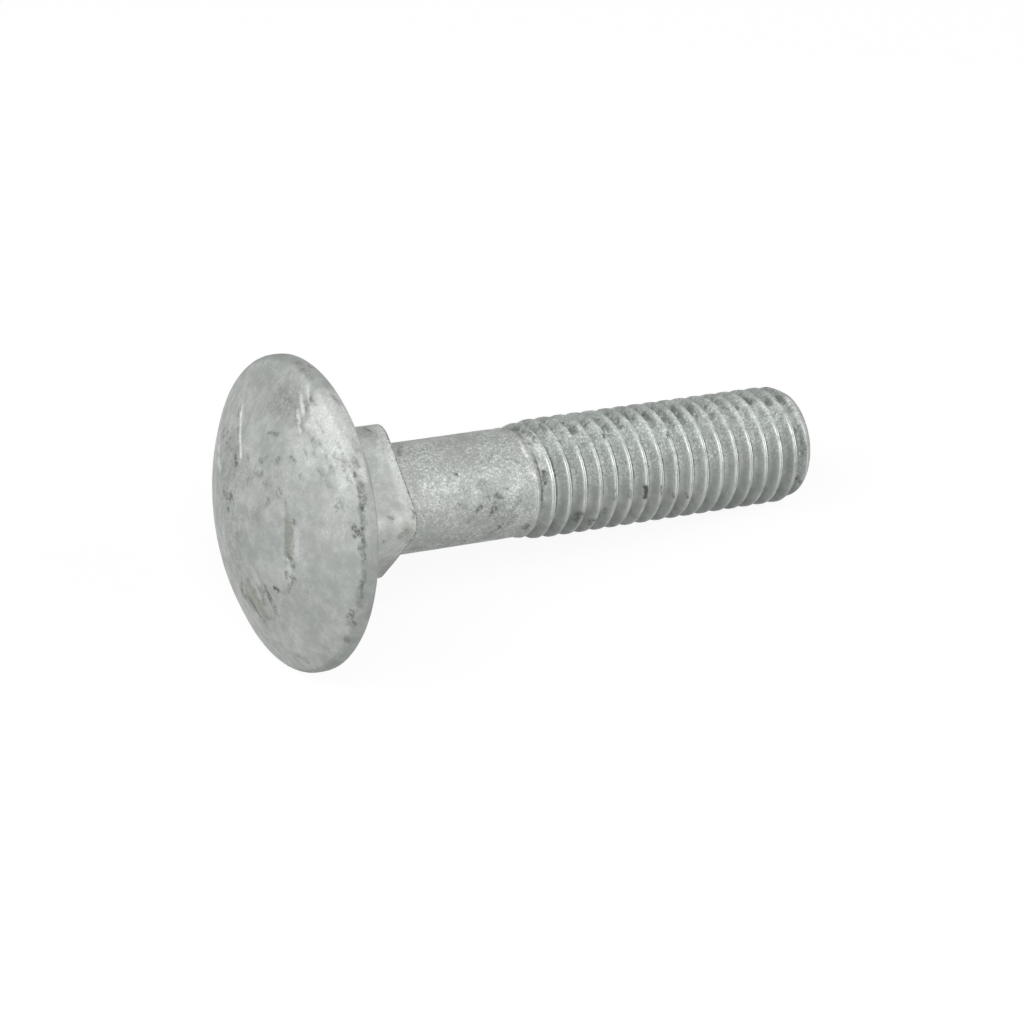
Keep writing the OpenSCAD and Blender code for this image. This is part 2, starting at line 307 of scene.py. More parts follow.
# Pale marks, given the same way: most are painted highlights and painted light, as said above them
paleAndHighlightMarks = {
    # painted highlight along the ridge's lit side
    "ridge": ((241.5, 407), (240.6, 457), 0.3, 1),
    "leftEdge": ((218, 460), (220, 468), 0.6, 0.42),
    # painted light on the raised lobe
    "lobeGlow": ((264, 566), (280, 578), 1.7, 0.16),
    # painted light on the lit side of the fold
    "foldGlow": ((295.5, 530), (297, 560), 0.5, 0.2),
    # painted highlight on the rim
    "rimGlow": ((362, 470), (365, 478), 0.5, 0.5),
    # painted glints on the thread's run-out, this one and the next two
    "startGlowA": ((522, 447), (527, 456), 0.25, 0.7),
    "startGlowB": ((531, 437), (540, 468), 0.16, 0.7),
    "startGlowC": ((519, 441), (523, 446), 0.2, 0.4),
    # painted highlight band on the neck
    "neckGlow": ((379, 442), (381, 470), 0.5, 0.12),
    "leftEdgeB": ((217.5, 446), (219, 452), 0.35, 0.36),
    # painted highlight on the rim
    "rimGlowB": ((357, 452), (361, 462), 0.5, 0.4),
    # the dome's painted highlight
    "domeGlow": ((330, 408), (341, 440), 3.4, 0.44),
    # painted glints on the end, this one and the next
    "endGlowA": ((788, 398), (791, 408), 0.5, 0.32),
    "endGlowB": ((791, 421), (793, 430), 0.4, 0.32),
    # painted light on the neck's middle flat
    "neckPaintedLight": ((392, 448), (404, 500), 0.9, 0.28),
    # painted highlights on the ridges in the dome's highlight, this one and the next three
    "ridgeHighlightA": ((300, 391), (303, 413), 0.26, 0.45),
    "ridgeHighlightB": ((307, 386), (309, 404), 0.24, 0.4),
    "ridgeHighlightC": ((297, 411), (300, 432), 0.28, 0.45),
    "ridgeHighlightD": ((311, 412), (316, 428), 0.3, 0.4),
    "lowPale": ((298, 635), (302, 645), 2.4, 0.12),
    # painted light round the lobe, this one and the next
    "lobeEdgeGlow": ((287, 560), (289, 568), 0.3, 0.3),
    "lobeHalo": ((289.5, 570), (289.5, 582), 0.25, 0.25),
    "streakPaleA": ((257, 580), (259, 586), 0.3, 0.3),
    "streakPaleB": ((263.5, 595), (264.5, 597), 0.25, 0.5),
    "leftFleckA": ((218.7, 436), (218.9, 440), 0.35, 0.35),
    # the dome's painted highlight spread wider, this one and the next
    "domeGlowLeft": ((303, 448), (312, 458), 1.8, 0.22),
    "domeGlowLow": ((343, 455), (346, 478), 1.6, 0.32),
}
oliveMarks = {
    "neckStain": ((404, 524), (411, 536), 0.6, 0.28),
    "rimStain": ((357, 500), (361, 545), 0.7, 0.2),
    "streakBand": ((248, 592), (262, 612), 1.6, 0.6),
    "foldBandA": ((287.5, 516), (287.8, 541), 0.55, 0.6),
    "foldBandB": ((287.8, 541), (288.8, 556), 0.55, 0.68),
    "leftOlive": ((232, 428), (233, 440), 0.6, 0.25),
}

headR, shankR, threadR, rootR, endR = (bolt[k] / 2 for k in ("headD", "shankD", "threadD", "rootD", "endD"))
crownH = bolt["headH"] - bolt["rimH"]
crownR = (headR ** 2 + crownH ** 2) / (2 * crownH)
crownZ = crownR - bolt["headH"]
rimR = headR - bolt["rimRound"]
threadZ = bolt["length"] - bolt["threadL"]
chamferZ = bolt["length"] - bolt["chamferL"]
crestZ = bolt["length"] - bolt["lastCrest"]
flankW = (threadR - rootR) * math.tan(math.radians(bolt["threadAngle"] / 2))
pitch = bolt["pitch"]
quarter = math.pi / 2
toMetres = 0.001

# the same rest as in the source: on the rim of the head and the last crest of the thread
contactR = threadR * math.cos(math.pi / bolt["facets"])
contactZ = crestZ + bolt["crestW"] / 2
tilt = math.atan2(rimR - contactR, contactZ + bolt["rimRound"]) + math.asin(
    bolt["rimRound"] / math.hypot(contactZ + bolt["rimRound"], rimR - contactR))
axisH = rimR * math.cos(tilt) + bolt["rimRound"] * (1 - math.sin(tilt))
startX = boltLow.x / toMetres - (crownZ * math.cos(tilt) - crownR)
# takes millimetres along the bolt to metres in the frame
lying = (Matrix.Scale(toMetres, 4) @ Matrix.Translation((startX, 0, axisH))
         @ Matrix.Rotation(quarter + tilt, 4, "Y"))

# the camera's own axes in the frame
backward = Vector(view["back"]).normalized()
rightward = Vector((0, 0, 1)).cross(backward).normalized()
upward = backward.cross(rightward)


def ease(t):
    t = min(max(t, 0.0), 1.0)
    return t * t * (3 - 2 * t)


def fromCrest(angle, z):
    u = (z - crestZ - pitch * angle / (2 * math.pi)) / pitch
    return (u - math.floor(u + 0.5)) * pitch


def profileR(u):
    along = (bolt["crestW"] / 2 + flankW - abs(u)) / flankW
    t = min(max(along, 0.0), 1.0)
    soft = bolt["flankSoft"]
    return rootR + (threadR - rootR) * ((1 - soft) * t + soft * ease(t))


def threadRadius(angle, z):
    r = profileR(fromCrest(angle, z))
    base = shankR - bolt["runoutSink"]
    r = base + (r - base) * ease((z - threadZ) / bolt["runoutL"])
    if z > chamferZ - meshing["sameHeight"]:
        r = min(r, endR + (threadR - endR) * (bolt["length"] - z) / bolt["chamferL"])
    return r


def neckRadius(angle):
    half, corner = bolt["neckW"] / 2, bolt["neckRound"]
    inner = half - corner
    a = angle - math.radians(bolt["neckTurn"])
    a = abs((a + quarter / 2) % quarter - quarter / 2)
    if half * math.tan(a) <= inner:
        return half / math.cos(a)
    along = inner * (math.cos(a) + math.sin(a))
    return along + math.sqrt(along * along - 2 * inner * inner + corner * corner)


def openRing(bm, z):
    def there(v):
        return abs(v.co.z - z) < meshing["sameHeight"]
    return [e for e in bm.edges if e.is_boundary and there(e.verts[0]) and there(e.verts[1])]


def grow(bm, ring, place):
    # one more ring of faces: each new corner keeps its angle and goes where place puts it
    made = bmesh.ops.extrude_edge_only(bm, edges=ring)["geom"]
    for v in made:
        if isinstance(v, bmesh.types.BMVert):
            angle = math.atan2(v.co.y, v.co.x)
            r, z = place(angle)
            v.co = (r * math.cos(angle), r * math.sin(angle), z)
    return [e for e in made if isinstance(e, bmesh.types.BMEdge) and e.is_boundary]


def spread(first, last, count):
    return [first + (last - first) * (i + 1) / count for i in range(count)]


def turnSteps():
    # how far past the middle of a crest the corners of one turn's profile lie
    half = bolt["crestW"] / 2
    foot = half + flankW
    crest = [half * share for share in meshing["crestSteps"]]
    flank = [half + meshing["crestShoulder"]] + [half + flankW * share for share in meshing["flankSteps"]]
    flank += [foot, foot + meshing["rootShoulder"]]
    return crest + flank + [pitch / 2] + [pitch - u for u in reversed(flank)] + [pitch - half]


def buildThread(bm):
    spare, columns = meshing["spareTurns"], meshing["columns"]
    turnsBelow = math.ceil((crestZ - threadZ) / pitch + spare)
    startZ = crestZ - pitch * turnsBelow
    line = [bm.verts.new((profileR(u if u < pitch / 2 else u - pitch), 0, startZ + u)) for u in turnSteps()]
    edges = [bm.edges.new(pair) for pair in zip(line, line[1:])]
    bmesh.ops.spin(bm, geom=line + edges, cent=(0, 0, 0), axis=(0, 0, 1),
                   dvec=(0, 0, pitch / columns), angle=2 * math.pi, steps=columns)
    oneTurn = bm.verts[:] + bm.edges[:] + bm.faces[:]
    for turn in range(1, turnsBelow + spare + 1):
        copied = bmesh.ops.duplicate(bm, geom=oneTurn)["geom"]
        corners = [v for v in copied if isinstance(v, bmesh.types.BMVert)]
        bmesh.ops.translate(bm, vec=(0, 0, pitch * turn), verts=corners)
    for v in bm.verts:
        z = v.co.z
        z = threadZ if z < threadZ + meshing["snap"] else chamferZ if z > chamferZ - meshing["snap"] else z
        angle = math.atan2(v.co.y, v.co.x)
        r = threadRadius(angle, z)
        v.co = (r * math.cos(angle), r * math.sin(angle), z)
    bmesh.ops.remove_doubles(bm, verts=bm.verts[:], dist=meshing["threadWeld"])
    bmesh.ops.dissolve_degenerate(bm, edges=bm.edges[:], dist=meshing["tooShort"])


def buildEnd(bm):
    ring = openRing(bm, chamferZ)
    edge, endZ = bolt["endEdge"], bolt["length"]
    for z in spread(chamferZ, endZ - edge, meshing["chamferRings"]):
        ring = grow(bm, ring, lambda a: (threadRadius(a, z), z))
    for t in spread(0, quarter, meshing["edgeRings"]):
        ring = grow(bm, ring, lambda a: (endR - edge * (1 - math.cos(t)), endZ - edge * (1 - math.sin(t))))
    for r in spread(endR - edge, 0, meshing["endRings"]):
        ring = grow(bm, ring, lambda a: (max(r, meshing["pole"]), endZ))


def buildShankAndNeck(bm):
    ring = openRing(bm, threadZ)
    neckH, edge, fillet = bolt["neckH"], bolt["neckEdge"], bolt["neckFillet"]
    for z in spread(threadZ, neckH + bolt["shankHollow"], meshing["shankRings"]):
        ring = grow(bm, ring, lambda a: (shankR, z))
    # a narrow hollow runs round the shank at the end of the neck
    ring = grow(bm, ring, lambda a: (shankR + bolt["shankRise"], neckH))
    ring = grow(bm, ring, lambda a: ((shankR + neckRadius(a) - edge) / 2, neckH))
    for t in spread(0, quarter, meshing["edgeRings"]):
        ring = grow(bm, ring, lambda a: (neckRadius(a) - edge * (1 - math.sin(t)),
                                         neckH - edge * (1 - math.cos(t))))
    for z in spread(neckH - edge, fillet, meshing["neckRings"]):
        ring = grow(bm, ring, lambda a: (neckRadius(a), z))
    for t in spread(0, quarter, meshing["edgeRings"]):
        ring = grow(bm, ring, lambda a: (neckRadius(a) + fillet * (1 - math.cos(t)),
                                         fillet * (1 - math.sin(t))))
    return ring


def buildHead(bm, ring):
    for t in spread(0, 1, meshing["underRings"]):
        ring = grow(bm, ring, lambda a: ((neckRadius(a) + bolt["neckFillet"]) * (1 - t) + rimR * t, 0.0))
    # the rim: a round, the upright land and a round into the crown
    low, soft = bolt["rimRound"], bolt["crownRound"]
    for t in spread(0, quarter, meshing["rimRings"]):
        ring = grow(bm, ring, lambda a: (rimR + low * math.sin(t), -low * (1 - math.cos(t))))
    upperR = headR - soft
    upperZ = crownZ - math.sqrt((crownR - soft) ** 2 - upperR ** 2)
    for z in spread(-low, upperZ, meshing["landRings"]):
        ring = grow(bm, ring, lambda a: (headR, z))
    lean = math.asin(upperR / (crownR - soft))
    for t in spread(quarter, lean, meshing["shoulderRings"]):
        ring = grow(bm, ring, lambda a: (upperR + soft * math.sin(t), upperZ - soft * math.cos(t)))
    for t in spread(lean, 0, meshing["domeRings"]):
        ring = grow(bm, ring, lambda a: (max(crownR * math.sin(t), meshing["pole"]),
                                         crownZ - crownR * math.cos(t)))


def seenAt(shape, pixel):
    # where the camera sees the bolt at this pixel, in millimetres along the bolt
    focal = view["lens"] / view["sensor"] * view["pixels"]
    middle = view["pixels"] / 2
    direction = rightward * (pixel[0] - middle) / focal - upward * (pixel[1] - middle) / focal - backward
    toBolt = lying.inverted()
    start = toBolt @ Vector(view["at"])
    direction = (toBolt.to_3x3() @ direction).normalized()
    hit = shape.ray_cast(start, direction)[0]
    if hit is None:
        print("a mark lies beside the bolt:", pixel)
        hit = shape.find_nearest(start + direction * start.length)[0]
    return hit


def placeMarks(bm):
    shape = BVHTree.FromBMesh(bm)
    for marks in (hollows, darkMarks, paleAndHighlightMarks, oliveMarks):
        for name, (first, last, width, strength) in marks.items():
            marks[name] = (seenAt(shape, first), seenAt(shape, last), width, strength)


def fromLine(co, first, last):
    along = last - first
    share = min(max((co - first).dot(along) / max(along.length_squared, 1e-6), 0.0), 1.0)
    return (co - first - along * share).length


def plotCorners(bm):
    corners = bm.verts[:]
    plot = kdtree.KDTree(len(corners))
    for i, v in enumerate(corners):
        plot.insert(v.co, i)
    plot.balance()
    return corners, plot


def nearLine(corners, plot, first, last, width):
    # the corners within a width of a line, and how far off each one lies
    middle = (first + last) / 2
    reach = (last - first).length / 2 + width
    found = ((corners[i], fromLine(co, first, last)) for co, i, gap in plot.find_range(middle, reach))
    return [(v, far) for v, far in found if far < width]


def refine(bm):
    # smaller faces where a narrow mark lies
    every = [mark for marks in (darkMarks, paleAndHighlightMarks, oliveMarks) for mark in marks.values()]
    narrow = [mark[:3] for mark in every if mark[2] < marking["fineBelow"]]
    for longest in marking["longest"]:
        corners, plot = plotCorners(bm)
        near = set()
        for first, last, width in narrow:
            near.update(v for v, far in nearLine(corners, plot, first, last, width + marking["fineAround"]))
        edges = [e for e in bm.edges if near.issuperset(e.verts) and e.calc_length() > longest]
        bmesh.ops.subdivide_edges(bm, edges=edges, cuts=1, use_grid_fill=True)


def stainsAndPaintedLight(bm):
    # how strong each kind of mark is at each corner, with uneven edges: stains and dirt, painted shade and
    # painted highlights
    kinds = {"dark": darkMarks, "pale": paleAndHighlightMarks, "olive": oliveMarks}
    for name in kinds:
        bm.verts.layers.float.new(name)
    corners, plot = plotCorners(bm)
    for name, marks in kinds.items():
        layer = bm.verts.layers.float[name]
        for first, last, width, strength in marks.values():
            breaks = name == "dark" and (last - first).length > marking["longFrom"] * width
            for v, far in nearLine(corners, plot, first, last, width):
                uneven = 1 + marking["uneven"] * noise.noise(v.co * marking["unevenScale"])
                there = strength * ease(marking["sharp"] * (1 - far / width * uneven))
                if breaks:
                    cloud = noise.noise(v.co * marking["brokenScale"])
                    there *= min(marking["whole"] + marking["broken"] * cloud, 1.0)
                v[layer] = max(v[layer], there)


def coatDepth(co):
    # how deep the zinc lies under its thickest places
    broad = noise.noise(co / coat["swellWide"] + Vector(coat["swellFrom"]))
    small = noise.noise(co / coat["lumpsWide"] + Vector(coat["lumpsFrom"]))
    depth = coat["swell"] * (0.5 + 0.5 * broad) + coat["lumps"] * (0.5 + 0.5 * small)
    for first, last, width, deep in hollows.values():
        far = fromLine(co, first, last) + coat["hollowWobble"] * small
        if far < width:
            depth += deep * ease(1 - far / width)
    if threadZ < co.z < chamferZ:
        u = abs(fromCrest(math.atan2(co.y, co.x), co.z))
        breaks = 0.5 + 0.5 * noise.noise(co / coat["grooveBreaks"])
        if u < coat["grooveWide"]:
            depth += coat["groove"] * ease((co.z - threadZ) / bolt["runoutL"]) * breaks
    return depth


def buildBolt():
    bm = bmesh.new()
    buildThread(bm)
    buildHead(bm, buildShankAndNeck(bm))
    buildEnd(bm)
    bmesh.ops.remove_doubles(bm, verts=bm.verts[:], dist=meshing["weld"])
    placeMarks(bm)
    refine(bm)
    stainsAndPaintedLight(bm)
    bmesh.ops.recalc_face_normals(bm, faces=bm.faces[:])
    bm.normal_update()
    moves = [(v, v.normal * -coatDepth(v.co)) for v in bm.verts]
    for v, move in moves:
        v.co += move
    bmesh.ops.transform(bm, matrix=lying, verts=bm.verts[:])
    mesh = bpy.data.meshes.new("galvanisedBolt")
    bm.to_mesh(mesh)
    openEdges = sum(e.is_boundary for e in bm.edges)
    volume = bm.calc_volume(signed=True) / toMetres ** 3
    bm.free()
    mesh.shade_smooth()
    piece = bpy.data.objects.new("galvanisedBolt", mesh)
    bpy.context.scene.collection.objects.link(piece)
    mesh.calc_loop_triangles()
    print("bolt built:", len(mesh.loop_triangles), "triangles,", openEdges, "open edges,", round(volume),
          "mm3")
    return piece


# Small helpers for node trees: a value may be a number, a colour or another node's output
def addNode(tree, kind, **settings):
    made = tree.nodes.new("ShaderNode" + kind)
    for name, value in settings.items():
        setattr(made, name, value)
    return made


def feed(tree, target, value):
    if isinstance(value, bpy.types.NodeSocket):
        tree.links.new(value, target)
    else:
        target.default_value = value


def maths(tree, operation, *values, clamp=False):
    made = addNode(tree, "Math", operation=operation, use_clamp=clamp)
    for target, value in zip(made.inputs, values):
        feed(tree, target, value)
    return made.outputs[0]


def times(tree, product, *others):
    for other in others:
        product = maths(tree, "MULTIPLY", product, other)
    return product


def vectors(tree, operation, *values):
    made = addNode(tree, "VectorMath", operation=operation)
    for target, value in zip(made.inputs, values):
        feed(tree, target, value)
    return made.outputs["Value" if operation == "LENGTH" else "Vector"]


def mixColour(tree, factor, first, second, kind="MIX"):
    made = addNode(tree, "Mix", data_type="RGBA", blend_type=kind)
    feed(tree, made.inputs["Factor"], factor)
    colours = [socket for socket in made.inputs if socket.type == "RGBA"]
    feed(tree, colours[0], first)
    feed(tree, colours[1], second)
    return next(socket for socket in made.outputs if socket.type == "RGBA")


def shaded(tree, factor, colour, shade):
    # the colour times a shade, where the factor is 1
    if isinstance(shade, float):
        shade = (shade, shade, shade, 1)
    return mixColour(tree, factor, colour, mixColour(tree, 1.0, colour, shade, "MULTIPLY"))


def mixValue(tree, factor, first, second):
    made = addNode(tree, "Mix", data_type="FLOAT")
    for name, value in (("Factor", factor), ("A", first), ("B", second)):
        feed(tree, made.inputs[name], value)
    return made.outputs["Result"]


def startGroup(name, given, results):
    group = bpy.data.node_groups.new(name, "ShaderNodeTree")
    for label, kind in given:
        group.interface.new_socket(label, in_out="INPUT", socket_type="NodeSocket" + kind)
    for label, kind in results:
        group.interface.new_socket(label, in_out="OUTPUT", socket_type="NodeSocket" + kind)
    return group, group.nodes.new("NodeGroupInput").outputs, group.nodes.new("NodeGroupOutput").inputs


def useGroup(tree, group, **values):
    made = addNode(tree, "Group", node_tree=group)
    for name, value in values.items():
        feed(tree, made.inputs[name], value)
    return made.outputs


# The look of the zinc: colours as linear values, shares, factors of brightness,
# and the relief's depth in metres
zinc = {
    "pale": (0.55, 0.57, 0.545, 1), "grey": (0.41, 0.43, 0.41, 1),
    "dark": (0.075, 0.08, 0.07, 1), "olive": (0.27, 0.28, 0.225, 1), "bright": (0.92, 0.94, 0.91, 1),
    "warm": (1.008, 0.996, 0.995, 1), "cool": (0.985, 1.003, 1.0, 1),
    "threadGreen": (0.995, 1.02, 1.025, 1), "threadGreenShare": 0.9,
    "metallic": 0.18, "metallicRoot": 0.05, "metallicCrest": 0.4, "specular": 0.35,
    "roughRim": 0.66, "roughRoot": 0.9, "roughCrest": 0.27,
    # painted shade and light: the rim, the thread's roots and the middle of its side darker, the neck's flats
    # lighter
    "rimShade": 0.87, "neckShade": 1.23, "rootShade": 0.98, "middleShade": 0.96,
    # sparkling is the share of the painted glints
    "grainShare": 0.65, "lowSmooth": 0.75, "paleGrain": 0.5, "speckled": 0.5, "sparkling": 0.45,
    # edgeWhite is the white painted on the crests' worn edges as highlights
    "edgeWhite": 0.62, "edgeFaint": 0.15, "edgeWave": 0.22,
    "relief": 0.00002,
}

# How high each thing stands in the relief, as shares
heights = {"blotch": 0.7, "fine": 0.6, "grain": 0.45, "drawn": 0.5, "pale": 2.0, "dark": 1.5}

# The noise clouds: scale in 1/mm, detail, roughness, and how far each is moved in mm
clouds = {
    "broad": (0.16, 3.0, 0.55, 0.0), "blotch": (0.9, 4.0, 0.6, 9.0), "fine": (3.2, 3.0, 0.6, 4.0),
    "grain": (5.0, 1.0, 0.5, 2.0), "tint": (0.2, 1.0, 0.5, 21.0), "drawn": (2.2, 2.0, 0.5, 3.0),
}
cloudMove = (1.0, 0.7, -1.0)
drawnStretch = (1.0, 1.0, 0.12)

# Where each part of the look begins and ends, and what it gives there, 0 and 1 if not said. The places are
# millimetres along, below or beside the bolt's axis, shares of a pitch, or values of a cloud or a mark
bands = {
    "thread": (0.3, 2.2), "threadEnd": (-0.15, -0.5),
    "tone": (0.36, 0.64), "tint": (0.4, 0.6),
    "roughBroad": (0.36, 0.6, 0.5, 1.0), "roughBlotch": (0.35, 0.6, 0.6, 1.0),
    "roughHead": (7.0, 9.0, 0.25, 1.0), "roughEnd": (-2.2, -1.2, 0.0, 0.7),
    "lowSide": (-3.0, -0.5), "upSide": (-1.8, -3.6, 0.0, 0.72),
    "grainShade": (0.36, 0.64, 0.75, 1.24),
    # the last of these, sparks, is where painted glints go
    "specksFine": (0.44, 0.34), "specksGrain": (0.52, 0.40), "sparks": (0.58, 0.67),
    # painted light and shade along the thread's top and side, and painted shade under everything behind the
    # head
    "topShade": (0.8, -1.2, 0.86, 1.2), "topToMiddle": (-5.0, -3.9), "lowShade": (1.0, 4.8, 1.0, 0.78),
    "behindHead": (0.2, 1.0), "rim": (-0.6, -0.3), "neck": (0.1, -0.1), "neckFoot": (0.0, 0.3),
    # the last of these fades the thread's lit band, where painted highlights and shadow go, towards its
    # underside
    "rootFrom": (0.26, 0.34), "rootTo": (0.76, 0.58), "wornLow": (2.5, -1.8, 0.12, 1.0),
    "seam": (0.10, 0.04), "seamBreaks": (0.4, 0.6, 0.35, 0.75),
    "edge": (0.29, 0.19), "edgeBreaks": (0.3, 0.55, 0.35, 1.0),
    # a painted shadow line in the thread's roots
    "lineFrom": (0.31, 0.36), "lineTo": (0.50, 0.42), "lineBreaks": (0.6, 0.4, 0.4, 0.9),
    # painted shade deep in the grooves along the thread's top
    "patchDown": (-4.2, -5.3), "patchBlotch": (0.52, 0.42), "patchDeep": (0.2, 0.6, 0.1, 0.6),
    # a dark line round the end of the neck: painted shadow of its edge, with dirt
    "dirtAndShadowFrom": (-0.26, -0.18), "dirtAndShadowTo": (-0.07, -0.11), "dirtAndShadowBreaks": (0.35, 0.6, 0.95, 0.4),
    "markBreaks": (0.60, 0.42, 0.45, 1.2), "markFull": (0.62, 0.95, 0.0, 0.95),
    "roughness": (0.35, 0.65, 0.58, 0.42),
}


def band(tree, value, name, base=0.0, kind="SMOOTHSTEP"):
    low, high, toLow, toHigh = (*bands[name], 0.0, 1.0)[:4]
    made = addNode(tree, "MapRange", interpolation_type=kind)
    feed(tree, made.inputs["Value"], value)
    limits = {"From Min": base + low, "From Max": base + high, "To Min": toLow, "To Max": toHigh}
    for label, limit in limits.items():
        made.inputs[label].default_value = limit
    return made.outputs["Result"]


def cloud(tree, place, name, stretch=None):
    scale, detail, roughness, shift = clouds[name]
    if shift:
        place = vectors(tree, "ADD", place, tuple(shift * share for share in cloudMove))
    if stretch:
        place = vectors(tree, "MULTIPLY", place, stretch)
    made = addNode(tree, "TexNoise")
    feed(tree, made.inputs["Vector"], place)
    made.inputs["Scale"].default_value = scale
    made.inputs["Detail"].default_value = detail
    made.inputs["Roughness"].default_value = roughness
    return made.outputs["Fac"]


def makeHelix():
    # where a point lies on the thread: 0 on the crest to 1 at the root, its share of a pitch past the crest
    # towards the end, and how far out, along, down and to the side it is
    results = ("From Crest", "Past Crest", "Radius", "Along", "Down", "Side", "On Thread")
    group, given, result = startGroup("helix", [("Place", "Vector")], [(label, "Float") for label in results])
    parts = addNode(group, "SeparateXYZ")
    feed(group, parts.inputs[0], given["Place"])
    along = parts.outputs["Z"]
    angle = maths(group, "ARCTAN2", parts.outputs["Y"], parts.outputs["X"])
    lead = times(group, angle, pitch / (2 * math.pi))
    u = maths(group, "SUBTRACT", maths(group, "SUBTRACT", along, crestZ), lead)
    near = maths(group, "PINGPONG", u, pitch / 2)
    feed(group, result["Past Crest"], maths(group, "FRACT", maths(group, "DIVIDE", u, pitch)))
    feed(group, result["From Crest"], maths(group, "DIVIDE", near, pitch / 2))
    flat = vectors(group, "MULTIPLY", given["Place"], (1.0, 1.0, 0.0))
    feed(group, result["Radius"], vectors(group, "LENGTH", flat))
    feed(group, result["Along"], along)
    feed(group, result["Down"], parts.outputs["X"])
    feed(group, result["Side"], parts.outputs["Y"])
    onThread = band(group, along, "thread", threadZ)
    feed(group, result["On Thread"], times(group, onThread, band(group, along, "threadEnd", bolt["length"])))
    return group


def boltPlace(tree):
    # the object's coordinates in millimetres along the bolt
    back = lying.inverted()
    mapping = addNode(tree, "Mapping")
    feed(tree, mapping.inputs["Vector"], addNode(tree, "TexCoord").outputs["Object"])
    mapping.inputs["Location"].default_value = back.translation
    mapping.inputs["Rotation"].default_value = back.to_3x3().normalized().to_euler()
    mapping.inputs["Scale"].default_value = (1 / toMetres,) * 3
    return mapping.outputs[0]


def findGrain(tree, helix, noises, marked):
    # the shank, the end and the thread's upper side are grainier than the head and the thread's lower side
    onThread, along, down = helix["On Thread"], helix["Along"], helix["Down"]
    rough = band(tree, noises["broad"], "roughBroad")
    rough = times(tree, rough, band(tree, noises["blotch"], "roughBlotch"), band(tree, along, "roughHead"))
    rough = maths(tree, "ADD", rough, times(tree, marked["pale"], zinc["paleGrain"]), clamp=True)
    lowSide = times(tree, onThread, band(tree, down, "lowSide"), zinc["lowSmooth"])
    rough = times(tree, rough, maths(tree, "SUBTRACT", 1.0, lowSide))
    upSide = times(tree, onThread, band(tree, down, "upSide"))
    atEnd = band(tree, along, "roughEnd", bolt["length"])
    return maths(tree, "MAXIMUM", rough, maths(tree, "MAXIMUM", upSide, atEnd))


def findAreas(tree, helix, noises):
    # masks of the rim, the neck, the thread's roots, the thread's band that faces the light, where painted
    # highlights and a painted shadow go, and its crests' worn edges with the seam between
    onThread, fromTop, past, down = (helix[k] for k in ("On Thread", "From Crest", "Past Crest", "Down"))
    areas = {"rim": band(tree, helix["Radius"], "rim", headR)}
    areas["neck"] = band(tree, helix["Along"], "neck", bolt["neckH"])
    areas["root"] = times(tree, band(tree, past, "rootFrom"), band(tree, past, "rootTo"), onThread)
    wave = times(tree, maths(tree, "SUBTRACT", noises["blotch"], 0.5), zinc["edgeWave"])
    wavy = maths(tree, "ADD", fromTop, wave)
    # the thread's band that faces the light: not on its very top, fading towards its underside
    areas["worn"] = times(tree, onThread, band(tree, down, "topToMiddle"), band(tree, down, "wornLow"))
    areas["seam"] = times(tree, areas["worn"], band(tree, wavy, "seam"))
    strong = maths(tree, "MAXIMUM", areas["worn"], times(tree, onThread, zinc["edgeFaint"]))
    areas["edge"] = times(tree, band(tree, wavy, "edge"), band(tree, noises["blotch"], "edgeBreaks"), strong)
    return areas


def coatColour(tree, place, helix, noises, marked, rough):
    # pale and grey clouds, the stains, the pale marks (most of them painted highlights and light), grain and
    # dark specks where the coat is rough, and painted glints there
    onThread, blotch, fine, grain = helix["On Thread"], noises["blotch"], noises["fine"], noises["grain"]
    tone = times(tree, maths(tree, "ADD", noises["broad"], blotch), 0.5)
    colour = mixColour(tree, band(tree, tone, "tone"), zinc["grey"], zinc["pale"])
    tint = mixColour(tree, band(tree, cloud(tree, place, "tint"), "tint"), zinc["warm"], zinc["cool"])
    colour = mixColour(tree, 1.0, colour, tint, "MULTIPLY")
    colour = shaded(tree, times(tree, onThread, zinc["threadGreenShare"]), colour, zinc["threadGreen"])
    colour = mixColour(tree, marked["olive"], colour, zinc["olive"])
    # the pale marks: most are painted highlights and painted light
    colour = mixColour(tree, marked["pale"], colour, zinc["bright"])
    share = zinc["grainShare"]
    mixed = maths(tree, "ADD", times(tree, grain, share), times(tree, fine, 1 - share))
    colour = shaded(tree, rough, colour, band(tree, mixed, "grainShade", kind="LINEAR"))
    specks = times(tree, band(tree, fine, "specksFine"), band(tree, grain, "specksGrain"), rough)
    colour = mixColour(tree, times(tree, specks, zinc["speckled"]), colour, zinc["dark"])
    # painted glints: bright specks where the coat is rough
    sparks = times(tree, band(tree, grain, "sparks"), rough, zinc["sparkling"])
    return mixColour(tree, sparks, colour, zinc["bright"])


def shadeAreas(tree, colour, helix, areas):
    # painted light and shade: the thread's top darker on its far side and lighter on the side towards the
    # camera, a little darker below that; everything behind the head darker along its underside; the rim and
    # the thread's roots darker, and the neck's flats lighter
    onThread, along, down = helix["On Thread"], helix["Along"], helix["Down"]
    side = band(tree, helix["Side"], "topShade")
    side = mixValue(tree, band(tree, down, "topToMiddle"), side, zinc["middleShade"])
    colour = shaded(tree, onThread, colour, side)
    colour = shaded(tree, band(tree, along, "behindHead"), colour, band(tree, down, "lowShade"))
    colour = shaded(tree, areas["rim"], colour, zinc["rimShade"])
    neckFlats = times(tree, areas["neck"], band(tree, along, "neckFoot"))
    colour = shaded(tree, neckFlats, colour, zinc["neckShade"])
    return shaded(tree, areas["root"], colour, zinc["rootShade"])


